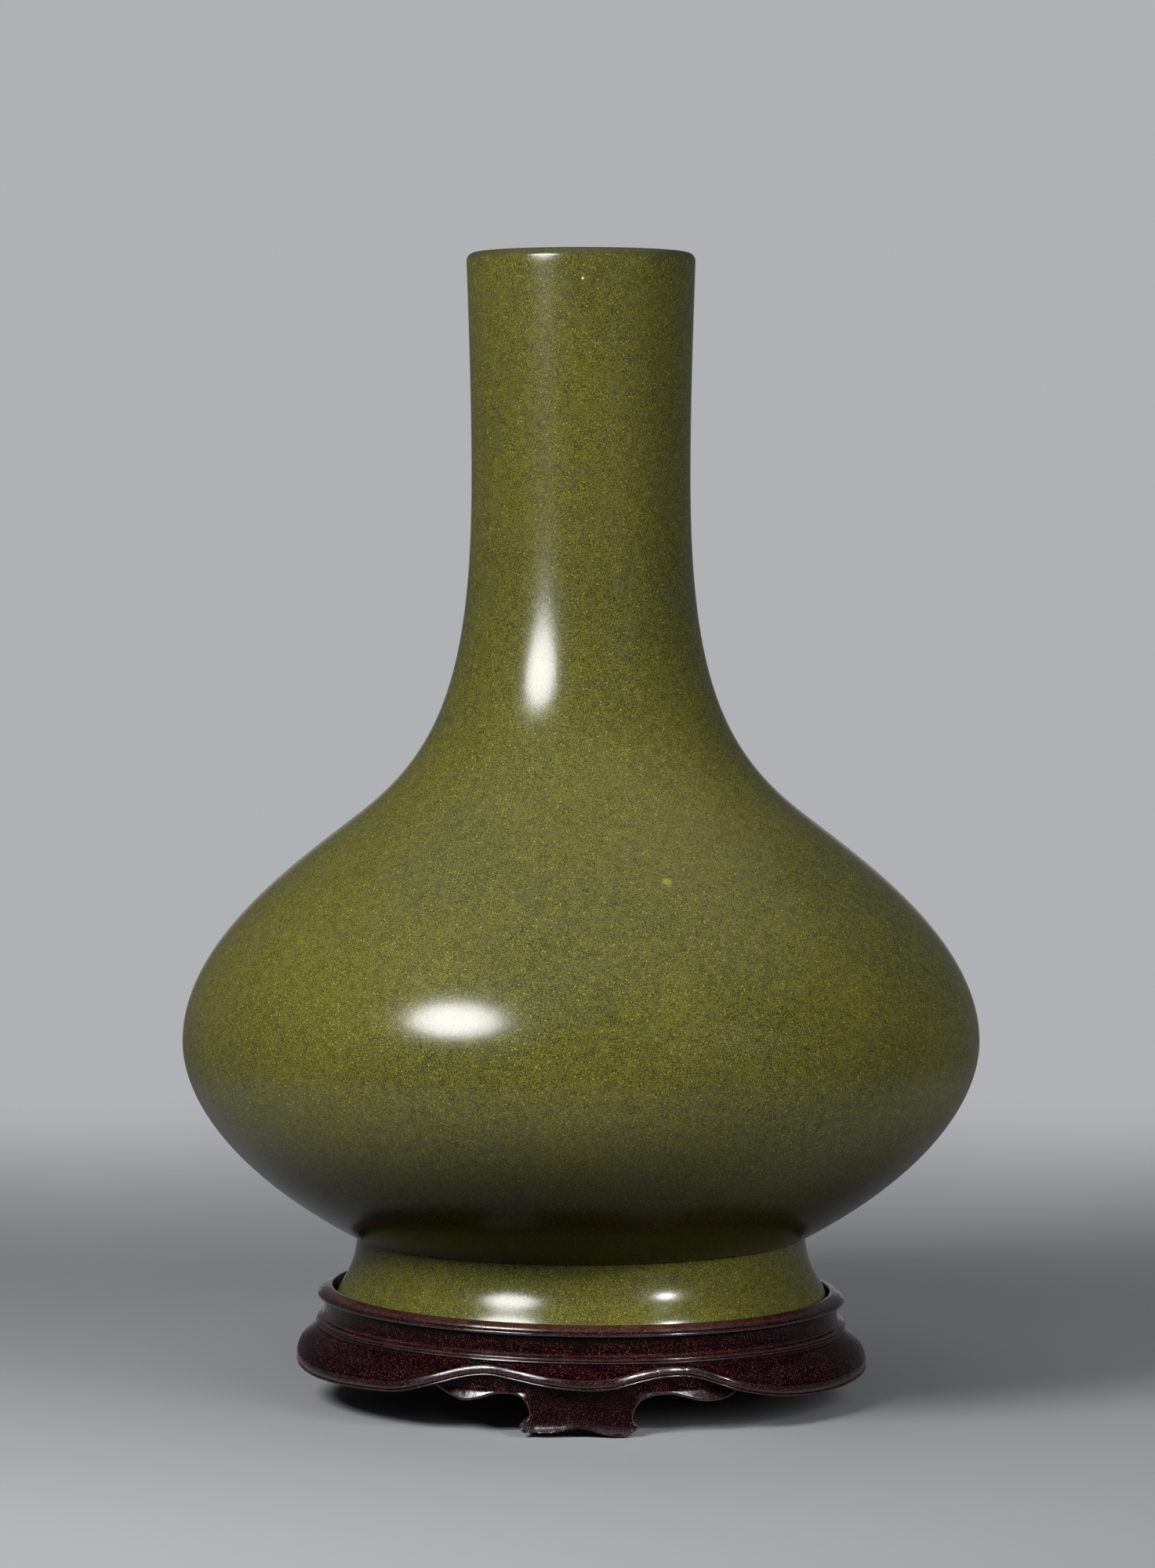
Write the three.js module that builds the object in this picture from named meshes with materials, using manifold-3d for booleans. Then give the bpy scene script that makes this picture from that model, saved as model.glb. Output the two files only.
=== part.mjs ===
// Water chestnut vase standing in its fitted hardwood stand.
// Millimetres, +Z up. The origin is on the table under the middle, and the front faces -Y.

import * as THREE from "three";
import { mergeVertices } from "three/addons/utils/BufferGeometryUtils.js";
import Module from "manifold-3d";

const wasm = await Module();
wasm.setup();

const DEGREE = Math.PI / 180;
const UPRIGHT = 90 * DEGREE;
const NEARLY_SAME = 0.01;

// Vase: radii of its outside, and the rise of each stretch from the foot up
const WALL = 5.2;
const FLOOR_THICKNESS = 8;
const FOOT_RISE = 28;
const BELLY_RISE = 61.5;
const SHOULDER_RISE = 72.8;
const NECK_RISE = 103.7;
const MOUTH_RISE = 69;
const GROOVE_RADIUS = 70.3;
const BELLY_RADIUS = 124.7;
const SHOULDER_RADIUS = 67.1;
const NECK_RADIUS = 34.2;
const MOUTH_RADIUS = 35.7;

// Vase: slopes, as angles above the horizontal, where one stretch meets the next
const GROOVE_SLOPE = 28 * DEGREE;
const SHOULDER_SLOPE = 39 * DEGREE;

// Vase: how far each curve is pulled along its end slopes, as a share of its own stretch
const GROOVE_PULL = 0.57;
const BELLY_PULL_BELOW = 0.26;
const BELLY_PULL_ABOVE = 0.45;
const SHOULDER_PULL_BELOW = 0.24;
const SHOULDER_PULL_ABOVE = 0.28;
const NECK_PULL_BELOW = 0.58;
const NECK_PULL_ABOVE = 0.3;
const MOUTH_PULL = 0.65;
const FLARE_PULL = 0.5;
const FLARE_LEAN = 1;

// Vase: the neck is luted on this far above the middle of the shoulder curve
const NECK_JOINT_RISE = 28;

// Foot ring
const FOOT_RADIUS = 77.3;
const FOOT_SWELL_RISE = 6;
const RIM_WIDTH = 5;
const RIM_CHAMFER = 2;
const RIM_INSET = 3;
const RIM_UNDERCUT = 0.8;
const RECESS_RADIUS = 57;

// Stand: heights above the table
const LEDGE_BOTTOM = 12.6;
const LEDGE_THICKNESS = 5.4;
const BOARD_THICKNESS = 4;
const COLLAR_RISE = 11.5;
const REBATE_TOP = 19;

// Stand: ring section
const FOOT_CLEARANCE = 0.7;
const LEDGE_WIDTH = 8;
const LEDGE_ROOT = 2.8;
const REBATE_WIDTH = 3.5;
const SKIRT_OVERHANG = 12;
const SKIRT_NECK = 4.7;
const SKIRT_TOP = 22;

// Mouldings of the collar: how far out of its inner face, and how far below its top
const LIP_ROUND = 0.5;
const LIP_WIDTH = 2.95;
const LIP_DROP = 0.9;
const COLLAR_BEAD_OUT = 4.8;
const COLLAR_BEAD_DROP = 2.5;
const COLLAR_BEAD_RADIUS = 0.65;
const WAIST_WALL = 2.4;
const WAIST_DROP = 4.9;

// Mouldings over the skirt: how far out of the collar's inner face, and how far above the skirt
const RIDGE_OUT = 5.3;
const RIDGE_RISE = 0.6;
const LINE_OUT = 4.9;
const LINE_RISE = 1.6;
const LINE_RADIUS = 0.5;
const WAIST_FOOT_OUT = 3.3;
const WAIST_FOOT_RISE = 2.5;

// Wavy lower edge of the skirt, in heights above the table and angles from the middle of a leg
const LEG_COUNT = 3;
const EDGE_OVER_LEG = 15;
const EDGE_CREST = 18.1;
const EDGE_LOBE = 10;
const CREST_ANGLE = 19.5;
const LOBE_ANGLE = 45;

// Roll along the skirt's edge: heights above the edge, and how far it stands out
const ROLL_TOP = 2.7;
const ROLL_FOOT = 1;
const ROLL_SWELL = 1;
const ROLL_GROOVE_RISE = 0.7;
const ROLL_GROOVE_DEPTH = 0.5;
const LOWER_LIP = 0.4;

// Seams of the ring, in degrees from the front
const SEGMENT_COUNT = 6;
const FIRST_SEAM = -47;
const SEAM_SLANT = 4;
const SEAM_GAP = 0.3;

// Tongues across the seams
const TONGUE_LENGTH = 14;
const TONGUE_WIDTH = 4.5;
const TONGUE_THICKNESS = 2.4;

// Legs: widths are half widths measured along the front
const WING_ANGLE = 37;
const WING_ROOT_ANGLE = 16.5;
const WING_ROOT_RUN = 2;
const WING_DIP_ANGLE = 26;
const WING_ROOT_HEIGHT = 12.5;
const WING_DIP_HEIGHT = 9.9;
const WING_TIP_HEIGHT = 17;
const WING_CHAMFER = 0.6;
const LEG_DEPTH = 13;
const LEG_WAIST = 16;
const LEG_WAIST_HEIGHT = 7;
const LEG_TOP_HALF = 18.4;
const LEG_ARCH_DROP = 0.9;
const LEG_ARCH_SPREAD = 1;
const LEG_SPREAD = 0.3;
const LEG_CORNER = 1.5;
const TOE_HALF = 18.2;
const TOE_HEIGHT = 3.5;
const TOE_NECK_RISE = 1;
const TOE_NECK_DROP = 1.4;
const SOLE_HALF = 15.2;
const SOLE_ROUND = 1;
const SOLE_HEIGHT = 0.4;
const LEG_SCOOP = 2.1;
const LEG_SCOOP_HEIGHT = 16;

// Pins that hold each leg up into the ledge
const PIN_RADIUS = 1.5;
const PIN_LENGTH = 10;
const PIN_IN_RING = 3.6;
const PIN_ANGLE = 5;

// Batten dovetailed across the underside of the board
const BATTEN_WIDTH = 14;
const BATTEN_DROP = 4;
const DOVETAIL_RISE = 2.2;
const DOVETAIL_NECK = 10;
const DOVETAIL_TOP = 12.5;

// Clearance between fitted pieces
const FIT = 0.3;

// Mesh fineness
const TURNED_SEGMENTS = 40;
const RING_STEPS = 12;
const WING_STEPS = 20;

// Worked out from the sizes above
const LEDGE_TOP = LEDGE_BOTTOM + LEDGE_THICKNESS;
const SEAT = LEDGE_TOP + BOARD_THICKNESS;
const COLLAR_TOP = SEAT + COLLAR_RISE;
const COLLAR_INNER = FOOT_RADIUS + FOOT_CLEARANCE;
const SKIRT_NECK_RADIUS = COLLAR_INNER + SKIRT_NECK;
const LEDGE_INNER = COLLAR_INNER - LEDGE_WIDTH;
const REBATE_INNER = COLLAR_INNER + LEDGE_ROOT;
const REBATE_OUTER = REBATE_INNER + REBATE_WIDTH;
const SKIRT_RADIUS = COLLAR_INNER + SKIRT_OVERHANG;
const FRONT_RADIUS = REBATE_OUTER - FIT;
const FOOT_TOP = SEAT + FOOT_RISE;
const BELLY_HEIGHT = FOOT_TOP + BELLY_RISE;
const SHOULDER_HEIGHT = BELLY_HEIGHT + SHOULDER_RISE;
const NECK_HEIGHT = SHOULDER_HEIGHT + NECK_RISE;
const MOUTH_TOP = NECK_HEIGHT + MOUTH_RISE;
const NECK_JOINT = SHOULDER_HEIGHT + NECK_JOINT_RISE;
const LEDGE_MIDDLE = (LEDGE_INNER + COLLAR_INNER) / 2;

// Materials
const glaze = new THREE.MeshStandardMaterial({ color: 0x5a5416, roughness: 0.32, metalness: 0 });
const footGlaze = new THREE.MeshStandardMaterial({ color: 0x625a1c, roughness: 0.3, metalness: 0 });
const hardwood = new THREE.MeshStandardMaterial({ color: 0x2c1211, roughness: 0.35, metalness: 0 });
const boardWood = new THREE.MeshStandardMaterial({ color: 0x3a1c16, roughness: 0.6, metalness: 0 });
const pinWood = new THREE.MeshStandardMaterial({ color: 0x6d4a2a, roughness: 0.7, metalness: 0 });

const model = new THREE.Group();

function addPart(name, geometry, material) {
  const mesh = new THREE.Mesh(geometry, material);
  mesh.name = name;
  model.add(mesh);
}

// A point of a turned outline: its radius, and its height above the table
const at = (radius, height) => new THREE.Vector2(radius, height);

// A point at a distance and slope from another one
function towards(start, distance, slope) {
  return at(start.x + distance * Math.cos(slope), start.y + distance * Math.sin(slope));
}

const curve = (a, b, c, d) => new THREE.CubicBezierCurve(a, b, c, d);

// A closed outline turned about the upright axis
const turned = (outline) => new THREE.LatheGeometry(outline, TURNED_SEGMENTS).rotateX(Math.PI / 2);

// A point round the upright axis, with the angle counted in degrees from the front
function around(radius, angle, height) {
  return [radius * Math.sin(angle * DEGREE), -radius * Math.cos(angle * DEGREE), height];
}

// A smooth step from one value to another
function blend(from, to, share) {
  const held = Math.min(Math.max(share, 0), 1);
  return from + ((to - from) * (1 - Math.cos(Math.PI * held))) / 2;
}

// A solid swept through a row of sections that have as many points each, with its ends closed.
// Looking the way of the sweep, each section runs clockwise.
function loft(sections, endOutline) {
  const count = sections[0].length;
  const index = [];
  for (let i = 0; i + 1 < sections.length; i++)
    for (let j = 0; j < count; j++) {
      const a = i * count + j;
      const b = i * count + ((j + 1) % count);
      index.push(a, b + count, b, a, a + count, b + count);
    }
  const last = (sections.length - 1) * count;
  const faces = (outline) => THREE.ShapeUtils.triangulateShape(outline, []);
  for (const [a, b, c] of faces(endOutline(0))) index.push(a, b, c);
  for (const [a, b, c] of faces(endOutline(sections.length - 1))) index.push(last + a, last + c, last + b);
  const geometry = new THREE.BufferGeometry();
  geometry.setAttribute("position", new THREE.Float32BufferAttribute(sections.flat(2), 3));
  geometry.setIndex(index);
  return geometry;
}

function toSolid(geometry) {
  const bare = geometry.clone();
  bare.deleteAttribute("normal");
  bare.deleteAttribute("uv");
  const merged = mergeVertices(bare, 1e-4);
  const mesh = new wasm.Mesh({
    numProp: 3,
    vertProperties: merged.attributes.position.array,
    triVerts: new Uint32Array(merged.index.array),
  });
  return new wasm.Manifold(mesh);
}

function toGeometry(solid) {
  const mesh = solid.getMesh();
  const geometry = new THREE.BufferGeometry();
  geometry.setAttribute("position", new THREE.BufferAttribute(mesh.vertProperties, 3));
  geometry.setIndex(new THREE.BufferAttribute(mesh.triVerts, 1));
  return geometry;
}

// Outside of the vase, as curves from the groove up to the mouth
const groovePoint = at(GROOVE_RADIUS, FOOT_TOP);
const bellyPoint = at(BELLY_RADIUS, BELLY_HEIGHT);
const shoulderPoint = at(SHOULDER_RADIUS, SHOULDER_HEIGHT);
const neckPoint = at(NECK_RADIUS, NECK_HEIGHT);
const lipPoint = at(MOUTH_RADIUS, MOUTH_TOP - WALL / 2);
const underBelly = groovePoint.distanceTo(bellyPoint);
const overBelly = bellyPoint.distanceTo(shoulderPoint);
const neckFlare = shoulderPoint.distanceTo(neckPoint);

const bodyCurves = [
  curve(
    groovePoint,
    towards(groovePoint, underBelly * GROOVE_PULL, GROOVE_SLOPE),
    towards(bellyPoint, BELLY_RISE * BELLY_PULL_BELOW, -UPRIGHT),
    bellyPoint,
  ),
  curve(
    bellyPoint,
    towards(bellyPoint, SHOULDER_RISE * BELLY_PULL_ABOVE, UPRIGHT),
    towards(shoulderPoint, overBelly * SHOULDER_PULL_BELOW, -SHOULDER_SLOPE),
    shoulderPoint,
  ),
  curve(
    shoulderPoint,
    towards(shoulderPoint, -neckFlare * SHOULDER_PULL_ABOVE, -SHOULDER_SLOPE),
    towards(neckPoint, NECK_RISE * NECK_PULL_BELOW, -UPRIGHT),
    neckPoint,
  ),
  curve(
    neckPoint,
    towards(neckPoint, MOUTH_RISE * NECK_PULL_ABOVE, UPRIGHT),
    at((NECK_RADIUS + MOUTH_RADIUS) / 2, NECK_HEIGHT + MOUTH_RISE * MOUTH_PULL),
    lipPoint,
  ),
];

// Points along the body curves, moved inwards by a wall, from the bottom up
function bodyLine(inset, steps) {
  const line = [];
  bodyCurves.forEach((bend, number) => {
    for (let i = number ? 1 : 0; i <= steps[number]; i++) {
      const point = bend.getPoint(i / steps[number]);
      const along = bend.getTangent(i / steps[number]);
      line.push(at(point.x - along.y * inset, point.y + along.x * inset));
    }
  });
  return line;
}

// The stretch of a rising line between two heights, cut square at both
function between(line, low, high) {
  const cut = (height) => {
    const i = line.findIndex((p, k) => k > 0 && p.y >= height);
    const share = (height - line[i - 1].y) / (line[i].y - line[i - 1].y);
    return line[i - 1].clone().lerp(line[i], share);
  };
  const inside = line.filter((p) => p.y > low + NEARLY_SAME && p.y < high - NEARLY_SAME);
  return [
    low > line[0].y ? cut(low) : line[0].clone(),
    ...inside,
    high < line.at(-1).y ? cut(high) : line.at(-1).clone(),
  ];
}

const outerLine = bodyLine(0, [9, 9, 8, 3]);
const innerLine = bodyLine(WALL, [7, 6, 5, 2]);
const lineTop = lipPoint.y;
const floorTop = FOOT_TOP + FLOOR_THICKNESS;

// Neck with its rounded mouth rim
function makeNeck() {
  const lip = [];
  for (let turn = 30; turn < 180; turn += 30)
    lip.push(towards(at(lipPoint.x - WALL / 2, lineTop), WALL / 2, turn * DEGREE));
  return turned([
    ...between(outerLine, NECK_JOINT, lineTop),
    ...lip,
    ...between(innerLine, NECK_JOINT, lineTop).reverse(),
    between(outerLine, NECK_JOINT, lineTop)[0],
  ]);
}

// Shoulder, from the widest line up to the neck
function makeUpperBody() {
  const outside = between(outerLine, BELLY_HEIGHT, NECK_JOINT);
  return turned([...outside, ...between(innerLine, BELLY_HEIGHT, NECK_JOINT).reverse(), outside[0]]);
}

// Lower belly with the floor of the pot
function makeLowerBody() {
  return turned([
    at(0, FOOT_TOP),
    ...between(outerLine, FOOT_TOP, BELLY_HEIGHT),
    ...between(innerLine, floorTop, BELLY_HEIGHT).reverse(),
    at(0, floorTop),
  ]);
}

// Flaring foot ring, hollow underneath, with a flat rim to stand on
function makeFootRing() {
  const swell = at(FOOT_RADIUS, SEAT + FOOT_SWELL_RISE);
  const flare = curve(
    groovePoint,
    at(GROOVE_RADIUS + FLARE_LEAN, FOOT_TOP - FOOT_RISE * FLARE_PULL),
    at(FOOT_RADIUS, FOOT_TOP - FOOT_RISE * FLARE_PULL),
    swell,
  );
  const rimOuter = FOOT_RADIUS - RIM_INSET;
  const rimInner = rimOuter - RIM_WIDTH;
  return turned([
    at(RECESS_RADIUS, FOOT_TOP),
    at(RECESS_RADIUS + RIM_CHAMFER, FOOT_TOP - FLOOR_THICKNESS / 2),
    at(rimInner - RIM_CHAMFER / 2, SEAT + RIM_CHAMFER),
    at(rimInner, SEAT),
    at(rimOuter, SEAT),
    at(FOOT_RADIUS - RIM_UNDERCUT, SEAT + RIM_CHAMFER),
    ...flare.getPoints(8).reverse(),
    at(RECESS_RADIUS, FOOT_TOP),
  ]);
}

addPart("vase_foot_ring", makeFootRing(), footGlaze);
addPart("vase_lower_body", makeLowerBody(), glaze);
addPart("vase_upper_body", makeUpperBody(), glaze);
addPart("vase_neck", makeNeck(), glaze);

// Height of the skirt's wavy lower edge, by the angle from the front
function skirtEdge(angle) {
  const pitch = 360 / LEG_COUNT;
  const offLeg = Math.abs(angle - pitch * Math.round(angle / pitch));
  if (offLeg < CREST_ANGLE) return blend(EDGE_OVER_LEG, EDGE_CREST, offLeg / CREST_ANGLE);
  return blend(EDGE_CREST, EDGE_LOBE, (offLeg - CREST_ANGLE) / (LOBE_ANGLE - CREST_ANGLE));
}

// Radius of the skirt's bulging face, by height
function skirtFace(height) {
  const share = (height - EDGE_LOBE) / (SKIRT_TOP - EDGE_LOBE);
  return SKIRT_RADIUS - (SKIRT_RADIUS - SKIRT_NECK_RADIUS) * share * share;
}

// Section of the ring where the skirt's edge has the given height
function ringSection(edge) {
  const rollTop = edge + ROLL_TOP;
  const roll = skirtFace(rollTop) + ROLL_SWELL;
  const skirt = [0, 1, 2, 3].map((i) => rollTop + ((SKIRT_TOP - rollTop) * i) / 3);
  const above = (out, rise) => at(COLLAR_INNER + out, SKIRT_TOP + rise);
  const below = (out, drop) => at(COLLAR_INNER + out, COLLAR_TOP - drop);
  return [
    at(LEDGE_INNER, LEDGE_BOTTOM),
    at(REBATE_INNER, LEDGE_BOTTOM),
    at(REBATE_INNER, REBATE_TOP),
    at(REBATE_OUTER, REBATE_TOP),
    at(REBATE_OUTER, edge),
    at(roll, edge),
    at(roll, edge + LOWER_LIP),
    at(roll - ROLL_GROOVE_DEPTH, edge + ROLL_GROOVE_RISE),
    at(roll, edge + ROLL_FOOT),
    ...skirt.map((height) => at(skirtFace(height), height)),
    above(RIDGE_OUT, RIDGE_RISE),
    above(LINE_OUT - LINE_RADIUS, LINE_RISE - LINE_RADIUS),
    above(LINE_OUT, LINE_RISE),
    above(LINE_OUT - LINE_RADIUS, LINE_RISE + LINE_RADIUS),
    above(WAIST_FOOT_OUT, WAIST_FOOT_RISE),
    below(WAIST_WALL, WAIST_DROP),
    below(COLLAR_BEAD_OUT - COLLAR_BEAD_RADIUS, COLLAR_BEAD_DROP + COLLAR_BEAD_RADIUS),
    below(COLLAR_BEAD_OUT, COLLAR_BEAD_DROP),
    below(COLLAR_BEAD_OUT - COLLAR_BEAD_RADIUS, COLLAR_BEAD_DROP - COLLAR_BEAD_RADIUS),
    below(LIP_WIDTH, LIP_DROP),
    below(LIP_ROUND, 0),
    below(0, LIP_ROUND),
    at(COLLAR_INNER, LEDGE_TOP),
    at(LEDGE_INNER, LEDGE_TOP),
  ];
}

// Angle of a seam at a height: every other seam slants
function seamAngle(number, height) {
  const slant = number % 2 ? (SEAM_SLANT * (COLLAR_TOP - height)) / (COLLAR_TOP - LEDGE_BOTTOM) : 0;
  return FIRST_SEAM + (number * 360) / SEGMENT_COUNT + slant;
}

// Bar laid across a seam inside the ledge
function makeTongue(seam, spare) {
  const middle = (LEDGE_BOTTOM + LEDGE_TOP) / 2;
  return new THREE.BoxGeometry(TONGUE_LENGTH + spare, TONGUE_WIDTH + spare, TONGUE_THICKNESS + spare)
    .translate(0, -LEDGE_MIDDLE, middle)
    .rotateZ(seamAngle(seam, middle) * DEGREE);
}

// Upright pin through the top of a leg into the ledge
function makePin(angle, spare) {
  const pinTop = LEDGE_BOTTOM + PIN_IN_RING;
  return new THREE.CylinderGeometry(PIN_RADIUS + spare / 2, PIN_RADIUS + spare / 2, PIN_LENGTH + spare, 12)
    .rotateX(Math.PI / 2)
    .translate(...around(LEDGE_MIDDLE, angle, pinTop - PIN_LENGTH / 2));
}

const legAngles = Array.from({ length: LEG_COUNT }, (_, i) => (i * 360) / LEG_COUNT);
const pinAngles = legAngles.flatMap((angle) => [angle - PIN_ANGLE, angle + PIN_ANGLE]);

// One segment of the ring between two seams, with its mortises and pin holes
function makeSegment(number) {
  const outlines = [];
  const sections = [];
  for (let i = 0; i <= RING_STEPS; i++) {
    const share = i / RING_STEPS;
    const angleAt = (height) =>
      THREE.MathUtils.lerp(seamAngle(number, height), seamAngle(number + 1, height), share);
    const outline = ringSection(skirtEdge(angleAt(EDGE_LOBE)));
    const side = i === 0 ? 1 : i === RING_STEPS ? -1 : 0;
    outlines.push(outline);
    sections.push(
      outline.map((p) => around(p.x, angleAt(p.y) + (side * SEAM_GAP) / 2 / p.x / DEGREE, p.y)),
    );
  }
  let solid = toSolid(loft(sections, (end) => outlines[end]));
  for (const seam of [number, number + 1]) solid = solid.subtract(toSolid(makeTongue(seam, FIT * 2)));
  for (const angle of pinAngles) solid = solid.subtract(toSolid(makePin(angle, FIT * 2)));
  return toGeometry(solid);
}

for (let i = 0; i < SEGMENT_COUNT; i++) {
  addPart(`ring_segment_${i + 1}`, makeSegment(i), hardwood);
  addPart(`joint_tongue_${i + 1}`, makeTongue(i, 0), pinWood);
}

// Face of a leg and its wings: scooped below the ring, swelling out again to the toe
function legFace(height) {
  const share = Math.min(height / LEG_SCOOP_HEIGHT, 1);
  return FRONT_RADIUS - LEG_SCOOP * Math.sin(Math.PI * share) ** 2;
}

// Lower edge of a wing, by the angle from the middle of the leg
function wingEdge(angle) {
  const off = Math.abs(angle);
  if (off < WING_ROOT_ANGLE) {
    const share = (off - WING_ROOT_ANGLE) / WING_ROOT_RUN + 1;
    return blend(LEDGE_BOTTOM - LEG_ARCH_DROP, WING_ROOT_HEIGHT, share);
  }
  if (off < WING_DIP_ANGLE) {
    const share = (off - WING_ROOT_ANGLE) / (WING_DIP_ANGLE - WING_ROOT_ANGLE);
    return blend(WING_ROOT_HEIGHT, WING_DIP_HEIGHT, share);
  }
  const share = (off - WING_DIP_ANGLE) / (WING_ANGLE - WING_DIP_ANGLE);
  return blend(WING_DIP_HEIGHT, WING_TIP_HEIGHT, share);
}

// The two wings, one band that lies in the rebate behind the skirt
function makeWings(middle) {
  const outlines = [];
  for (let i = 0; i <= WING_STEPS; i++) {
    const angle = WING_ANGLE * ((2 * i) / WING_STEPS - 1);
    const low = wingEdge(angle);
    const bulge = (low + REBATE_TOP) / 2;
    outlines.push([
      at(REBATE_INNER + FIT, low + WING_CHAMFER),
      at(REBATE_INNER + FIT + WING_CHAMFER, low),
      at(legFace(low) - WING_CHAMFER, low),
      at(legFace(low + WING_CHAMFER), low + WING_CHAMFER),
      at(legFace(bulge), bulge),
      at(FRONT_RADIUS, REBATE_TOP),
      at(REBATE_INNER + FIT, REBATE_TOP),
    ]);
  }
  const angleOf = (i) => middle + WING_ANGLE * ((2 * i) / WING_STEPS - 1);
  const sections = outlines.map((outline, i) => outline.map((p) => around(p.x, angleOf(i), p.y)));
  return loft(sections, (end) => outlines[end]);
}

// The leg itself, as level slices from the ledge down to the sole
function makePost(middle) {
  const slices = [
    [LEDGE_BOTTOM, LEG_TOP_HALF],
    [LEDGE_BOTTOM - LEG_ARCH_DROP, LEG_WAIST + LEG_ARCH_SPREAD],
    [(LEG_WAIST_HEIGHT + LEDGE_BOTTOM) / 2, LEG_WAIST + LEG_SPREAD],
    [LEG_WAIST_HEIGHT, LEG_WAIST],
    [TOE_HEIGHT + 2 * TOE_NECK_RISE, LEG_WAIST + LEG_SPREAD],
    [TOE_HEIGHT + TOE_NECK_RISE, TOE_HALF - TOE_NECK_DROP],
    [TOE_HEIGHT, TOE_HALF],
    [TOE_HEIGHT / 2, TOE_HALF - SOLE_ROUND],
    [SOLE_HEIGHT, SOLE_HALF],
    [0, SOLE_HALF - SOLE_ROUND],
  ];
  const edge = 0.9;
  const shares = [-1, -edge, -0.6, -0.3, 0, 0.3, 0.6, edge, 1];
  const outlines = slices.map(([height, half]) => {
    const spread = half / FRONT_RADIUS / DEGREE;
    const face = (share) => legFace(height) - (Math.abs(share) === 1 ? LEG_CORNER : 0);
    const front = shares.map((share) => [face(share), spread * share]);
    const back = shares
      .filter((share) => Math.abs(share) !== edge)
      .map((share) => [FRONT_RADIUS - LEG_DEPTH, spread * share]);
    return [...front, ...back.reverse()];
  });
  const sections = outlines.map((outline, i) =>
    outline.map(([radius, angle]) => around(radius, middle + angle, slices[i][0])),
  );
  return loft(sections, (end) => sections[end].map(([x, y]) => at(x, y)));
}

// A leg: post and wings in one piece, with holes for its pins
function makeLeg(middle) {
  let solid = toSolid(makePost(middle)).add(toSolid(makeWings(middle)));
  for (const angle of [middle - PIN_ANGLE, middle + PIN_ANGLE])
    solid = solid.subtract(toSolid(makePin(angle, FIT * 2)));
  return toGeometry(solid);
}

legAngles.forEach((angle, i) => addPart(`leg_${i + 1}`, makeLeg(angle), hardwood));
pinAngles.forEach((angle, i) => addPart(`leg_pin_${i + 1}`, makePin(angle, 0), pinWood));

// Dovetailed batten, run from side to side under the board
function makeBatten(spare) {
  const neck = DOVETAIL_NECK / 2 + spare;
  const head = DOVETAIL_TOP / 2 + spare;
  const crown = LEDGE_TOP + DOVETAIL_RISE + spare;
  const belowBoard = LEDGE_TOP - BATTEN_DROP;
  const outline = new THREE.Shape([
    at(-BATTEN_WIDTH / 2, belowBoard),
    at(BATTEN_WIDTH / 2, belowBoard),
    at(BATTEN_WIDTH / 2, LEDGE_TOP),
    at(neck, LEDGE_TOP),
    at(head, crown),
    at(-head, crown),
    at(-neck, LEDGE_TOP),
    at(-BATTEN_WIDTH / 2, LEDGE_TOP),
  ]);
  const reach = Math.sqrt(LEDGE_INNER ** 2 - (BATTEN_WIDTH / 2) ** 2) - FIT;
  const length = 2 * (reach + spare);
  return new THREE.ExtrudeGeometry(outline, { depth: length, bevelEnabled: false })
    .rotateX(Math.PI / 2)
    .rotateZ(Math.PI / 2)
    .translate(-length / 2, 0, 0);
}

// Round board with the groove for its batten
function makeBoard() {
  const radius = COLLAR_INNER - FIT;
  const disc = turned([
    at(0, LEDGE_TOP),
    at(radius, LEDGE_TOP),
    at(radius, SEAT),
    at(0, SEAT),
  ]);
  return toGeometry(toSolid(disc).subtract(toSolid(makeBatten(FIT))));
}

addPart("seat_board", makeBoard(), boardWood);
addPart("seat_batten", makeBatten(0), boardWood);

export default model;
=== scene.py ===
# %% [markdown]
# # A teadust-glazed bottle vase on its carved stand
#
# The vase is one thrown and fired pot: a long neck, a broad flattened belly and a flaring foot.
# It rests loose in a low hardwood stand. The stand is a ring of six glued segments, with a board
# inside it and three short legs pinned underneath.
#
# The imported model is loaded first. It is the measured frame that everything here has to fit:
# each piece below takes the place of one or more of its nodes, or dresses a node with a finish.

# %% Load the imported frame
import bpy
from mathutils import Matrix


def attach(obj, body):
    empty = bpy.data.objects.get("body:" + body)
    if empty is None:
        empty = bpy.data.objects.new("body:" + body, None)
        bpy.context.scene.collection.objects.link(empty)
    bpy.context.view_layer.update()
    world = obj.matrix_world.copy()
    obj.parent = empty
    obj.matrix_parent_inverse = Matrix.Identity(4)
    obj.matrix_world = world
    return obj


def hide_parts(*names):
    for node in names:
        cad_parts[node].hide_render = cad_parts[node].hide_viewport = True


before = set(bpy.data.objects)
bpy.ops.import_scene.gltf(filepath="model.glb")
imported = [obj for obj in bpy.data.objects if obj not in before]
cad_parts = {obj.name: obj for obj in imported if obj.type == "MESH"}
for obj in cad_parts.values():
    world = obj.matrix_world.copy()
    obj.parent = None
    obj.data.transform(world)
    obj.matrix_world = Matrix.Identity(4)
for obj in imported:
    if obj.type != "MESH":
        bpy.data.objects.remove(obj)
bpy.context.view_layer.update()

# %% [markdown]
# ## Tools and units
#
# Sizes are written in millimetres, as a maker would measure them, and become metres only when a
# mesh is made. Numpy holds long rows of points. The last line says which way the pot faces: an
# angle of 0 is the front, towards -Y, and angles grow towards the viewer's right.

# %% Units
import math

import bmesh
import bpy
import numpy as np
from mathutils import Vector
from mathutils.geometry import delaunay_2d_cdt

MM = 0.001
scene = bpy.context.scene


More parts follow.
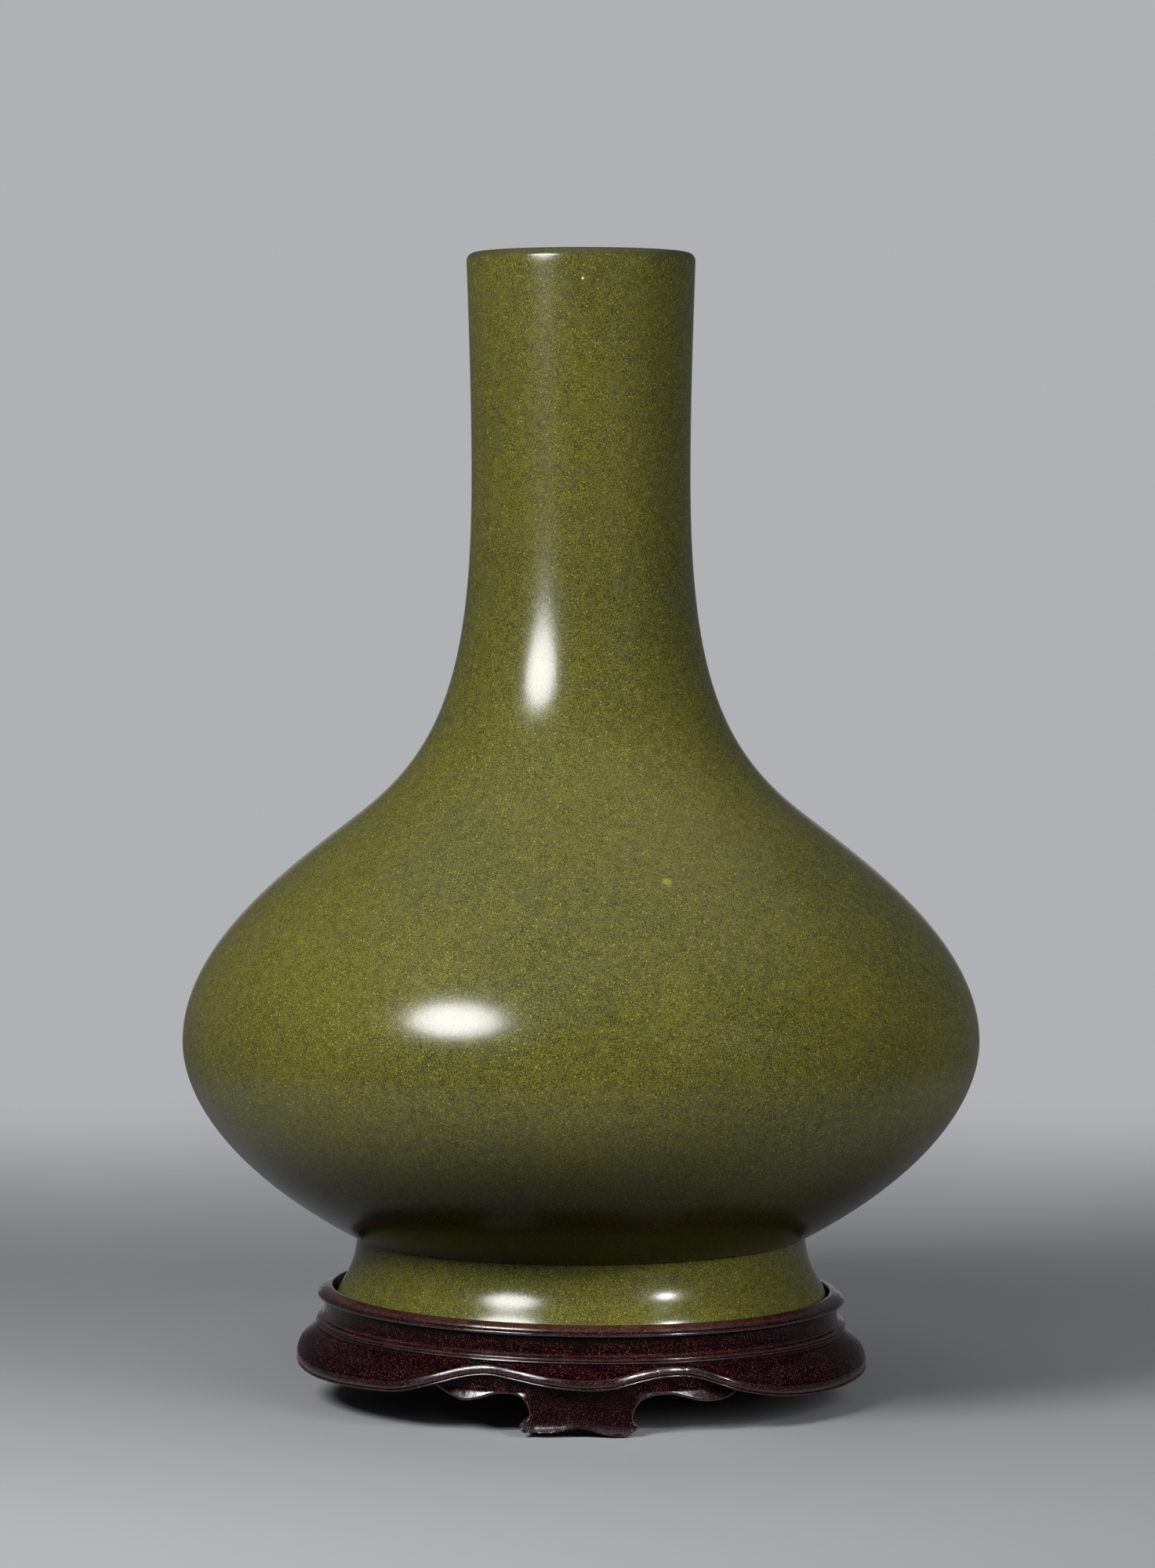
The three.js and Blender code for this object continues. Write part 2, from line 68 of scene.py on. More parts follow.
def around(radius, angle, height):
    """Points round the upright axis, for an angle in degrees from the front."""
    turn = np.radians(angle)
    return np.stack(np.broadcast_arrays(radius * np.sin(turn), -radius * np.cos(turn), height), -1)


print("a point of the front rim:", around(77.3, 0, 22))

# %% [markdown]
# ## The camera
#
# The view is from a little above the shoulder of the pot, from about a metre and a half away, with
# a long lens. A long lens keeps the ellipses of foot and mouth flat, which is why the mouth shows
# as a thin line and not as an open ring. The place and lens were found by fitting the outline.

# %% Camera
camera_data = bpy.data.cameras.new("studio_camera")
camera_data.sensor_width = 36
camera_data.lens = 115.2
camera = bpy.data.objects.new("studio_camera", camera_data)
camera.location = (-0.0011, -1.5686, 0.2717)
camera.rotation_euler = (math.radians(87.07), 0, 0)
scene.collection.objects.link(camera)
scene.camera = camera
print("camera is", round(camera.location.length, 3), "m from the middle of the table")

# %% [markdown]
# ## The light
#
# A glossy pot is a mirror for its lamps, so the white spots on it say where the lamps stood. The
# spots on neck, belly and foot agree on one lamp with an oval diffuser, wider than it is tall, some
# three quarters of a metre away, up on the left. The foot has a second spot that the belly lacks,
# so that one comes from a narrow lamp aimed at the foot alone. A broad panel on the right lifts the
# shaded side. It is kept out of the reflections, as a white wall far away would be.

# %% Lights
def add_lamp(name, kind, place, aim, watts):
    """A lamp that faces a point, with both places in millimetres."""
    data = bpy.data.lights.new(name, kind)
    data.energy = watts
    lamp = bpy.data.objects.new(name, data)
    lamp.location = Vector(place) * MM
    lamp.rotation_euler = (Vector(aim) - Vector(place)).to_track_quat("-Z", "Y").to_euler()
    scene.collection.objects.link(lamp)
    return lamp


key_lamp = add_lamp("key_lamp", "AREA", (-400, -525, 528), (0, 0, 150), 5.3)
key_lamp.data.shape = "ELLIPSE"
key_lamp.data.size = 315 * MM
key_lamp.data.size_y = 255 * MM

side_panel = add_lamp("side_panel", "AREA", (640, -760, 480), (0, 0, 120), 4.2)
side_panel.data.size = 600 * MM
side_panel.visible_glossy = False

foot_lamp = add_lamp("foot_lamp", "SPOT", (331, -363, 302), (17, -72, 24), 4.0)
foot_lamp.data.spot_size = math.radians(11)
foot_lamp.data.spot_blend = 1.0
foot_lamp.data.shadow_soft_size = 26 * MM

world = bpy.data.worlds.new("studio_world")
world.use_nodes = True
scene.world = world
scene.view_settings.view_transform = "Standard"
print("lamps:", [lamp.name for lamp in (key_lamp, side_panel, foot_lamp)])

# %% [markdown]
# ## Shader helpers
#
# Every finish below is a small network of nodes. One helper adds a node and wires it, and a few
# more name the steps that come back all the time: a noise, a blend of two colours, and a value
# moved from one range to another. Colours are written as they look on screen, from 0 to 255.

# %% Shader helpers
def paint(red, green, blue):
    """A colour as seen on screen, turned into the linear light that shaders use."""
    seen = np.array([red, green, blue]) / 255
    linear = np.where(seen <= 0.04045, seen / 12.92, ((seen + 0.055) / 1.055) ** 2.4)
    return (*linear.tolist(), 1.0)


def put(tree, kind, inputs, **settings):
    """A new node; each input is a fixed value or the output of another node."""
    node = tree.nodes.new("ShaderNode" + kind)
    for name, value in settings.items():
        setattr(node, name, value)
    for name, value in inputs.items():
        if isinstance(value, bpy.types.NodeSocket):
            tree.links.new(value, node.inputs[name])
        else:
            node.inputs[name].default_value = value
    return node


def noise(tree, where, scale, detail=2.0, roughness=0.5):
    values = {"Vector": where, "Scale": scale, "Detail": detail, "Roughness": roughness}
    return put(tree, "TexNoise", values).outputs["Fac"]


def step(tree, value, low, high, start=0.0, end=1.0):
    """Moves a value that runs from low to high into start to end, smoothly and held at both."""
    values = {"Value": value, 1: low, 2: high, 3: start, 4: end}
    return put(tree, "MapRange", values, interpolation_type="SMOOTHSTEP").outputs["Result"]


def mix(tree, share, first, second):
    return put(tree, "Mix", {0: share, 6: first, 7: second}, data_type="RGBA").outputs[2]


def reckon(tree, operation, *values):
    return put(tree, "Math", dict(enumerate(values)), operation=operation).outputs[0]


print("olive in linear light:", [round(part, 3) for part in paint(95, 93, 42)])

# %% [markdown]
# ## The room
#
# The world is the room that the pot reflects. A glaze shows whatever stands round it, so a pale
# room would lay a milky haze over the olive. The walls are therefore a dim grey that darkens a
# little upwards, under a paler ceiling, and only the paper hung behind the pot is light. The pot's
# edges catch a hair of it.

# %% Room
WALL_FOOT, WALL_HEAD = (0.09, 0.093, 0.1, 1), (0.07, 0.073, 0.08, 1)
CEILING, PAPER = (0.4, 0.4, 0.41, 1), (0.43, 0.44, 0.455, 1)

tree = world.node_tree
direction = put(tree, "TexCoord", {}).outputs["Generated"]
aim = put(tree, "SeparateXYZ", {0: direction})
upwards, backwards = aim.outputs["Z"], aim.outputs["Y"]
wall = mix(tree, step(tree, upwards, -0.05, 0.3), WALL_FOOT, WALL_HEAD)
wall = mix(tree, step(tree, upwards, 0.6, 0.95), wall, CEILING)
wall = mix(tree, step(tree, backwards, 0.972, 0.988), wall, PAPER)
tree.links.new(wall, tree.nodes["Background"].inputs["Color"])

# %% [markdown]
# ## The table
#
# The table is a wide pale disc. It starts to fade a little way behind the pot and melts into the
# room, so there is no hard horizon. To the camera and to reflections it is pale. To the soft light
# that bounces up under the belly it is darker, because a dark underside is part of this pot's look.

# %% Table
TABLE_RADIUS, FADE_START, FADE_END = 3000, 220, 850
SEEN_TABLE, BOUNCE_TABLE = (0.38, 0.385, 0.4, 1), (0.05, 0.05, 0.053, 1)


def make_table():
    bm = bmesh.new()
    bmesh.ops.create_circle(bm, cap_ends=True, segments=96, radius=TABLE_RADIUS * MM)
    mesh = bpy.data.meshes.new("table")
    bm.to_mesh(mesh)
    bm.free()
    table = bpy.data.objects.new("table", mesh)
    scene.collection.objects.link(table)
    finish = bpy.data.materials.new("pale_table")
    finish.use_nodes = True
    tree = finish.node_tree
    tree.nodes.clear()
    place = put(tree, "TexCoord", {}).outputs["Object"]
    path = put(tree, "LightPath", {})
    seen = reckon(tree, "MAXIMUM", path.outputs["Is Camera Ray"], path.outputs["Is Glossy Ray"])
    seen = reckon(tree, "MAXIMUM", seen, path.outputs["Is Transmission Ray"])
    colour = mix(tree, seen, BOUNCE_TABLE, SEEN_TABLE)
    matt = put(tree, "BsdfDiffuse", {"Color": colour}).outputs[0]
    clear = put(tree, "BsdfTransparent", {}).outputs[0]
    reach = put(tree, "VectorMath", {0: place}, operation="LENGTH").outputs["Value"]
    fade = step(tree, reach, FADE_START * MM, FADE_END * MM)
    blend = put(tree, "MixShader", {0: fade, 1: matt, 2: clear}).outputs[0]
    put(tree, "OutputMaterial", {"Surface": blend})
    mesh.materials.append(finish)


make_table()
print("table is", 2 * TABLE_RADIUS * MM, "m across")

# %% [markdown]
# ## Making a piece
#
# Each piece below is a list of points and a list of faces, worked out from named sizes. This
# helper turns them into a mesh with smooth shading that still breaks at real edges. Two extra
# values may be kept on every point: how worn the wood is there, and where the point lies along
# the grain of its board. The finishes read both.

# %% Piece maker
EDGE_ANGLE = 38


def make_piece(name, points, faces, finish, worn=None, grain=None):
    mesh = bpy.data.meshes.new(name)
    mesh.from_pydata((np.asarray(points, float) * MM).tolist(), [], faces)
    bm = bmesh.new()
    bm.from_mesh(mesh)
    bmesh.ops.recalc_face_normals(bm, faces=bm.faces)
    bm.to_mesh(mesh)
    bm.free()
    mesh.polygons.foreach_set("use_smooth", [True] * len(mesh.polygons))
    mesh.set_sharp_from_angle(angle=math.radians(EDGE_ANGLE))
    if worn is not None:
        mesh.attributes.new("worn", "FLOAT", "POINT").data.foreach_set("value", np.ravel(worn))
    if grain is not None:
        along = mesh.attributes.new("grain", "FLOAT_VECTOR", "POINT")
        along.data.foreach_set("vector", np.ravel(np.asarray(grain, float) * MM))
    mesh.materials.append(finish)
    piece = bpy.data.objects.new(name, mesh)
    scene.collection.objects.link(piece)
    return piece


def turned(outline, steps):
    """Points and faces of a closed outline turned about the axis; radius 0 is a single point."""
    points, rows, faces = [], [], []
    angles = np.arange(steps) * 360 / steps
    for radius, height in outline:
        if radius == 0:
            rows.append([len(points)] * steps)
            points.append((0, 0, height))
        else:
            rows.append(list(range(len(points), len(points) + steps)))
            points.extend(around(radius, angles, height))
    for low, high in zip(rows, rows[1:] + rows[:1]):
        for i in range(steps):
            j = (i + 1) % steps
            corners = dict.fromkeys((low[i], low[j], high[j], high[i]))
            if len(corners) > 2:
                faces.append(list(corners))
    return points, faces


print("edges sharper than", EDGE_ANGLE, "degrees stay crisp")

# %% [markdown]
# ## The outline of the pot
#
# A pot is thrown as one sweep of the hands, so its outline is a few long curves that flow into
# each other: out from the groove to the widest line, in over the shoulder, up the neck, and a
# barely opening mouth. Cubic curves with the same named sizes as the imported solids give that
# sweep, but sampled far more finely.

# %% Pot outline
WALL = 5.2
FOOT_BOTTOM, FOOT_TOP, BELLY, SHOULDER, NECK, MOUTH = 22, 50, 111.5, 184.3, 288, 357
FOOT_RADIUS, GROOVE_RADIUS, BELLY_RADIUS = 77.3, 70.3, 124.7
SHOULDER_RADIUS, NECK_RADIUS, MOUTH_RADIUS = 67.1, 34.2, 35.7
BELLY_SLOPE, SHOULDER_SLOPE, PLUMB = 28, -39, 90


def curve(a, b, c, d, steps=36):
    """A cubic curve from a to d, pulled towards b and c, as rows of radius and height."""
    t = np.linspace(0, 1, steps + 1)[:, None]
    a, b, c, d = (np.array(p, float) for p in (a, b, c, d))
    return (1 - t) ** 3 * a + 3 * (1 - t) ** 2 * t * b + 3 * (1 - t) * t**2 * c + t**3 * d


def towards(start, distance, slope):
    """The point at a distance from another, at an angle above the level."""
    turn = math.radians(slope)
    return np.array(start, float) + distance * np.array([math.cos(turn), math.sin(turn)])


groove, belly = (GROOVE_RADIUS, FOOT_TOP), (BELLY_RADIUS, BELLY)
shoulder, neck, lip = (SHOULDER_RADIUS, SHOULDER), (NECK_RADIUS, NECK), (MOUTH_RADIUS, MOUTH - WALL / 2)
under, over, flare = math.dist(groove, belly), math.dist(belly, shoulder), math.dist(shoulder, neck)
neck_bend = ((NECK_RADIUS + MOUTH_RADIUS) / 2, NECK + 0.65 * (MOUTH - NECK))

# each pull is a share of the stroke's length or of its rise
strokes = [
    curve(groove, towards(groove, 0.57 * under, BELLY_SLOPE),
          towards(belly, 0.26 * (BELLY - FOOT_TOP), -PLUMB), belly),
    curve(belly, towards(belly, 0.45 * (SHOULDER - BELLY), PLUMB),
          towards(shoulder, 0.24 * over, SHOULDER_SLOPE), shoulder),
    curve(shoulder, towards(shoulder, -0.28 * flare, SHOULDER_SLOPE),
          towards(neck, 0.58 * (NECK - SHOULDER), -PLUMB), neck),
    curve(neck, towards(neck, 0.3 * (MOUTH - NECK), PLUMB), neck_bend, lip, 24),
]
outside = np.vstack([strokes[0]] + [stroke[1:] for stroke in strokes[1:]])
print("outline points:", len(outside), "widest radius:", round(outside[:, 0].max(), 1), "mm")

# %% [markdown]
# ## The teadust glaze
#
# Teadust is an iron glaze that grows tiny yellow-green crystals as it cools. Close up it is a
# dense dust of yellow grains over dark olive, gathered here and there into small clusters, with
# faint blue-grey patches where the crystals are few. The dust is a fine noise, the clusters and
# patches are coarser ones, and the brightest single crystals are the cells of a Voronoi pattern.
#
# The surface is satin: one sharp reflection from the top of the glass, broken up by a very fine
# orange-peel. Painted shade darkens the colour up the neck, and at the rim the glaze has run off
# and gone greyer. Painted shade darkens and browns the low belly, and there its skin is drier.

# %% Teadust glaze
KILN_MARKS = [
    # angle, height, size, darkness: small pits and specks that the firing left
    (-18.8, 216.7, 0.35, 0.9), (-17.8, 119.7, 0.4, 0.9), (47.5, 124.9, 0.5, 0.9),
    (-43.0, 110.2, 0.35, 0.8), (118, 140, 0.45, 0.9), (171, 96, 0.4, 0.8),
    (-142, 128, 0.4, 0.9), (-96, 205, 0.35, 0.8), (152, 262, 0.35, 0.8),
]
PALE_SPECK, YELLOW_SPOT = (0.8, 347.4, 0.4), (16.5, 166.8, 1.6)
# painted shade: the neck band darkens the glaze colour up the neck
NECK_SHADE_BAND, RIM_BAND = (185, 262), (MOUTH - 3.4, MOUTH - 0.6)
# painted shade: the lower band darkens the belly towards the foot; the dry band only lowers its gloss
UNDERSIDE_SHADE_BAND, DRY_BAND = (56, 102), (70, 100)
GLAZE_ROUGHNESS, GLAZE_GLOSS, PEEL_DEPTH = 0.2, 0.46, 0.01


def radius_at(height):
    return float(np.interp(height, outside[:, 1], outside[:, 0]))


def spot_mask(tree, where, angle, height, size):
    """1 inside a small round spot on the pot's outside, and 0 round it."""
    middle = around(radius_at(height), angle, height) * MM
    apart = put(tree, "VectorMath", {0: where, 1: middle.tolist()}, operation="DISTANCE").outputs["Value"]
    return step(tree, apart, size * 0.6 * MM, size * 1.2 * MM, 1.0, 0.0)


def glaze_parts(finish):
    """Starts a glaze. Gives its tree, the place of each point, the colour and the bump height."""
    tree = finish.node_tree
    where = put(tree, "TexCoord", {}).outputs["Object"]
    dust = noise(tree, where, 3000, 1.0, 0.6)
    clusters = noise(tree, where, 330, 3.0, 0.55)
    patches = noise(tree, where, 105, 3.0, 0.5)
    clouds = noise(tree, where, 17, 2.0, 0.5)
    share = reckon(tree, "ADD", dust, reckon(tree, "MULTIPLY_ADD", clusters, 0.2, -0.1))
    grains = step(tree, share, 0.4, 0.62)
    colour = mix(tree, grains, paint(44, 44, 24), paint(124, 123, 46))
    thin = step(tree, patches, 0.5, 0.72, 0.0, 0.25)
    colour = mix(tree, thin, colour, paint(84, 88, 58))
    tone = step(tree, clouds, 0.32, 0.68, 0.0, 1.0)
    colour = mix(tree, 0.22, colour, mix(tree, tone, paint(70, 74, 34), paint(112, 106, 36)))
    crystals = put(tree, "TexVoronoi", {"Vector": where, "Scale": 1150.0}, feature="F1")
    lucky = step(tree, put(tree, "SeparateColor", {0: crystals.outputs["Color"]}).outputs[0], 0.8, 0.9)
    near = step(tree, crystals.outputs["Distance"], 0.18, 0.34, 1.0, 0.0)
    flecks = reckon(tree, "MULTIPLY", lucky, near)
    colour = mix(tree, flecks, colour, paint(164, 156, 48))
    peel = noise(tree, where, 900, 2.0, 0.6)
    relief = reckon(tree, "MULTIPLY_ADD", dust, 0.35, peel)
    return tree, where, colour, relief


def start_finish(name):
    finish = bpy.data.materials.new(name)
    finish.use_nodes = True
    return finish


def end_finish(tree, colour, relief, depth, **values):
    """Wires colour and bump into the surface; the other values are fixed ones or node outputs."""
    surface = tree.nodes["Principled BSDF"]
    bump = put(tree, "Bump", {"Height": relief, "Strength": 1.0, "Distance": depth * MM}).outputs["Normal"]
    for name, value in {"Base_Color": colour, "Normal": bump, **values}.items():
        socket = surface.inputs[name.replace("_", " ")]
        if isinstance(value, bpy.types.NodeSocket):
            tree.links.new(value, socket)
        else:
            socket.default_value = value


def by_height(tree, where, band, start, end):
    """A value that changes from start to end between the two heights of a band, in millimetres."""
    lift = put(tree, "SeparateXYZ", {0: where}).outputs["Z"]
    return step(tree, lift, band[0] * MM, band[1] * MM, start, end)


teadust = start_finish("teadust_glaze")
tree, where, colour, relief = glaze_parts(teadust)
for angle, height, size, darkness in KILN_MARKS:
    spot = spot_mask(tree, where, angle, height, size)
    colour = mix(tree, reckon(tree, "MULTIPLY", spot, darkness), colour, paint(22, 18, 12))
    relief = reckon(tree, "SUBTRACT", relief, spot)
colour = mix(tree, spot_mask(tree, where, *PALE_SPECK), colour, paint(235, 232, 214))
colour = mix(tree, spot_mask(tree, where, *YELLOW_SPOT), colour, paint(140, 132, 36))
# painted shade: the glaze colour is darkened with height up the neck
colour = mix(tree, by_height(tree, where, NECK_SHADE_BAND, 0.0, 0.2), colour, paint(36, 36, 18))
colour = mix(tree, by_height(tree, where, RIM_BAND, 0.0, 0.7), colour, paint(64, 62, 50))
# painted shade: the colour is darkened and browned low on the belly, where it turns under
colour = mix(tree, by_height(tree, where, UNDERSIDE_SHADE_BAND, 0.75, 0.0), colour, paint(27, 15, 3))
gloss = by_height(tree, where, DRY_BAND, 0.1, GLAZE_GLOSS)
end_finish(tree, colour, relief, PEEL_DEPTH, Roughness=GLAZE_ROUGHNESS, Specular_IOR_Level=gloss)
print("glaze nodes:", len(tree.nodes), "kiln marks:", len(KILN_MARKS))

# %% [markdown]
# ## The body of the pot
#
# The whole body, from the groove above the foot to the lip, is one glazed surface without a
# seam. It is turned from the outline like a pot on the wheel, with 224 steps so that its edge
# stays round when seen close. The inside follows at the thickness of the wall, with a soft corner
# at its floor, and the lip is a small half round.

# %% Pot body
FLOOR_TOP = 58
POT_STEPS = 224


def inset(line, distance):
    """The same line moved inwards, square to its own direction."""
    along = np.gradient(line, axis=0)
    along /= np.linalg.norm(along, axis=1)[:, None]
    return line + distance * np.stack([-along[:, 1], along[:, 0]], 1)


inside = inset(outside, WALL)
inside = inside[inside[:, 1] > FLOOR_TOP]
floor_corner = [(inside[0, 0] - 1.2, FLOOR_TOP + 0.3), (inside[0, 0] - 3.5, FLOOR_TOP)]
lip_turns = np.radians(np.arange(12, 180, 12))
lip_round = np.array(lip) + WALL / 2 * np.stack([np.cos(lip_turns) - 1, np.sin(lip_turns)], 1)
body_outline = np.vstack([[(0, FOOT_TOP)], outside, lip_round, inside[::-1], floor_corner,
                          [(0, FLOOR_TOP)]])
vase_body = make_piece("vase_body", *turned(body_outline, POT_STEPS), teadust)
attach(vase_body, "vase")
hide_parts("vase_neck", "vase_upper_body", "vase_lower_body")
print("body faces:", len(vase_body.data.polygons), "inside starts at", round(inside[0, 1], 1), "mm")

# %% [markdown]
# ## The foot
#
# The foot ring flares out below the groove and turns in again just above its rim. The glaze
# stops a little short of the rim, and the bare clay that the pot stands on has burnt dark brown.
# Underneath, the recess is glazed again, with a soft corner where the ring meets the base. The
# foot is a turned piece of its own, and its glaze gives way to bare clay by height.

# %% Foot
RIM_OUTER, RIM_INNER = 74.3, 69.3
BASE_CEILING = 49.2
RECESS_RADIUS, RECESS_BEND = 57, 45
GLAZE_LINE, GLAZE_WAVER = 24.4, 1.6

swell = (FOOT_RADIUS, 28)
flare_line = curve(swell, (FOOT_RADIUS, 36), (GROOVE_RADIUS + 1, 36), groove, 24)
rim_side = curve((RIM_OUTER + 0.5, FOOT_BOTTOM + 0.15), (75.9, 22.8), (FOOT_RADIUS, 25.4), swell, 8)
recess_bend = (RECESS_RADIUS + 0.8, RECESS_BEND)
recess_side = curve((RIM_INNER - 0.5, FOOT_BOTTOM + 0.3), (66.5, 25), (60, 40), recess_bend, 12)
recess_corner = curve(recess_bend, (RECESS_RADIUS - 0.2, 48), (55, BASE_CEILING), (50, BASE_CEILING), 8)
foot_outline = np.vstack([[(0, BASE_CEILING)], recess_corner[::-1], recess_side[::-1][1:],
                          [(RIM_INNER, FOOT_BOTTOM), (RIM_OUTER, FOOT_BOTTOM)], rim_side, flare_line[1:],
                          [(0, FOOT_TOP)]])

foot_finish = start_finish("foot_glaze")
tree, where, colour, relief = glaze_parts(foot_finish)
lift = put(tree, "SeparateXYZ", {0: where}).outputs["Z"]
ragged = reckon(tree, "MULTIPLY_ADD", noise(tree, where, 160, 3.0), GLAZE_WAVER * MM, lift)
bare = step(tree, ragged, (GLAZE_LINE - 0.2) * MM, (GLAZE_LINE + 0.2) * MM, 1.0, 0.0)
clay = mix(tree, noise(tree, where, 700, 4.0, 0.7), paint(40, 24, 15), paint(104, 66, 42))
colour = mix(tree, bare, colour, clay)
satin = step(tree, bare, 0.0, 1.0, GLAZE_ROUGHNESS, 0.8)
end_finish(tree, colour, relief, PEEL_DEPTH, Roughness=satin, Specular_IOR_Level=GLAZE_GLOSS)
vase_foot = make_piece("vase_foot", *turned(foot_outline, POT_STEPS), foot_finish)
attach(vase_foot, "vase")
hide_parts("vase_foot_ring")
print("foot faces:", len(vase_foot.data.polygons),
      "the glaze ends near", round(GLAZE_LINE - GLAZE_WAVER / 2, 1), "mm")

# %% [markdown]
# ## The carved hardwood
#
# The stand is a heavy, very dark red-brown wood, waxed and rubbed for a long time. Its pores are
# short hairs that run with the grain and hold pale dust. Its edges and ridges have been handled
# until the red shows through, and they alone have taken a polish; the ground between them is dull.
# The finish reads two values from the mesh: the grain direction, which bends round with every
# segment, and the worn edges that the carving below marks as it goes.

# %% Hardwood finish
BAND_STRETCH, HAIR_STRETCH = 0.12, 0.6
WOOD_RELIEF = 0.06


def wood_finish(name, along, dark, light, pore, roughness, gloss, edge=None):
    """A close-grained wood: dark bands, short pores along the grain and, if asked, rubbed edges."""
    finish = start_finish(name)
    tree = finish.node_tree
    if along == "grain":
        where = put(tree, "Attribute", {}, attribute_name="grain").outputs["Vector"]
    else:
        where = put(tree, "TexCoord", {}).outputs["Object"]
    axis = max("xyz".find(along), 0)
    long, short = (
        put(tree, "Mapping", {"Vector": where, "Scale": np.where(np.arange(3) == axis, stretch, 1.0)})
        .outputs[0] for stretch in (BAND_STRETCH, HAIR_STRETCH)
    )
    bands = noise(tree, long, 420, 4.0, 0.6)
    drift = noise(tree, long, 70, 2.0, 0.5)
    colour = mix(tree, step(tree, bands, 0.36, 0.66), dark, light)
    colour = mix(tree, step(tree, drift, 0.4, 0.7, 0.0, 0.5), colour, dark)
    hairs = step(tree, noise(tree, short, 4300, 1.0, 0.5), 0.62, 0.7)
    dusty = step(tree, noise(tree, where, 190, 4.0, 0.6), 0.26, 0.56)
    pores = reckon(tree, "MULTIPLY", hairs, dusty)
    colour = mix(tree, reckon(tree, "MULTIPLY", pores, 0.85), colour, pore)
    if edge:
        rubbed = put(tree, "Attribute", {}, attribute_name="worn").outputs["Fac"]
        patchy = step(tree, noise(tree, where, 330, 3.0, 0.6), 0.36, 0.62, 0.35, 1.0)
        colour = mix(tree, reckon(tree, "MULTIPLY", rubbed, patchy), colour, edge)
        uneven = noise(tree, where, 240, 3.0, 0.6)
        roughness = step(tree, uneven, 0.3, 0.7, roughness - 0.07, roughness + 0.1)
        gloss = step(tree, rubbed, 0.02, 0.16, gloss, 1.0)
    relief = reckon(tree, "SUBTRACT", bands, reckon(tree, "MULTIPLY", hairs, 0.8))
    end_finish(tree, colour, relief, WOOD_RELIEF, Roughness=roughness, Specular_IOR_Level=gloss)
    return finish


carved_wood = wood_finish("carved_hardwood", "grain", paint(8, 0, 2), paint(24, 2, 6),
                          paint(156, 90, 84), 0.18, 0.1, edge=paint(84, 46, 38))
print("hardwood nodes:", len(carved_wood.node_tree.nodes))

# %% [markdown]
# ## The moulding of the ring
#
# Seen cut across, the ring is a stack of small turned mouldings. From the top: a worn lip round
# the pot's foot, a crisp bead, an upright waist, a finer bead and a sharp ridge. Below the ridge
# the skirt bulges out over the legs and ends in a raised roll along a wavy edge. The section is
# therefore drawn anew at each angle: the upper part never changes, and the skirt and its roll
# move up and down with the wave. The roll also grows where the edge rises.
#
# The wave was cut by hand and its two sides differ, so it is a template: a few points that a
# smooth line runs through. The whole moulding also leans by less than a degree. Inside, a ledge
# carries the board, and a slot behind the skirt takes the wings of the legs.

# %% Ring moulding
LEGS, LEG_TURN = 3, 120
RING_LEAN = 0.015
RING_TOP, COLLAR_INSIDE = 33.5, 78.0
SKIRT_LOW, SKIRT_TOP, SKIRT_INSIDE = 10.0, 22.0, 84.3
SKIRT_RADIUS, SKIRT_BEND, SKIRT_TUCK, RIDGE_ROOT = 90.15, 3.04, 5.92, 82.6
LEDGE_TOP, LEDGE_BOTTOM, LEDGE_INSIDE, LEDGE_OUTSIDE = 18.0, 12.6, 70.0, 80.8
SLOT_TOP, WAVE_RISE = 19.0, 8.5
ROLL_LEAST, ROLL_GROWTH, ROLL_TOP = 0.55, 0.6, 3.3
FACE_POINTS, BEAD_POINTS = 13, 9
WAVE_TEMPLATE = [
    # angle from the middle of a leg, height of the skirt's edge
    (-60, 9.65), (-53, 9.85), (-44, 10.4), (-38, 11.2), (-33, 13.1), (-29, 14.9), (-24, 17.0),
    (-18.8, 17.9), (-13, 17.1), (-6, 15.7), (1.2, 15.0), (7, 15.4), (13.5, 17.1), (20.3, 18.2),
    (25.5, 17.65), (29.7, 15.5), (33, 13.6), (38.5, 11.7), (44, 10.5), (52.5, 9.75), (60, 9.65),
]
LIP_TEMPLATE = [
    # depth behind the lip's outermost line, height over the edge, wear
    (0.25, 0, 0.1), (0, 0.07, 0.3), (-0.02, 0.18, 0.4), (0.06, 0.4, 0.4), (0.22, 0.56, 0.2), (0.5, 0.62, 0),
]
ROLL_TEMPLATE = [
    # how far out, as a share of the roll's growth, height over the edge, wear
    (0.3, 0.8, 0), (0.64, 0.88, 0.05), (0.8, 1.08, 0.15), (0.82, 1.36, 0.2), (0.77, 1.66, 0.15),
    (0.67, 2.02, 0.1), (0.52, 2.42, 0.1), (0.32, 2.82, 0.1), (0.1, 3.12, 0.1), (-0.12, 3.28, 0),
    (-0.4, ROLL_TOP, 0),
]
RIDGE_TEMPLATE = [
    # radius, height, wear
    (82.75, 22.15, 0.1), (83.05, 22.35, 0.6), (83.15, 22.55, 0.7), (83.0, 22.8, 0.5), (82.55, 22.95, 0),
]
WAIST_TEMPLATE = [
    (82.0, 24.15, 0), (81.4, 24.2, 0), (81.2, 24.4, 0.6), (81.0, 24.6, 0.5), (80.6, 24.75, 0.1),
    (80.5, 25.2, 0), (80.45, 27.5, 0), (80.4, 29.2, 0), (80.45, 29.55, 0), (80.9, 29.95, 0), (81.6, 30.2, 0),
]
COLLAR_TEMPLATE = [
    (81.85, 31.38, 0), (81.5, 31.55, 0.1), (81.3, 31.95, 0.3), (81.05, 32.4, 0.6), (80.85, 32.6, 1),
    (80.3, 32.85, 0.8), (79.4, 33.2, 0.6), (78.6, 33.45, 0.6), (78.2, 33.4, 0.7), (COLLAR_INSIDE, 33.0, 0.2),
]


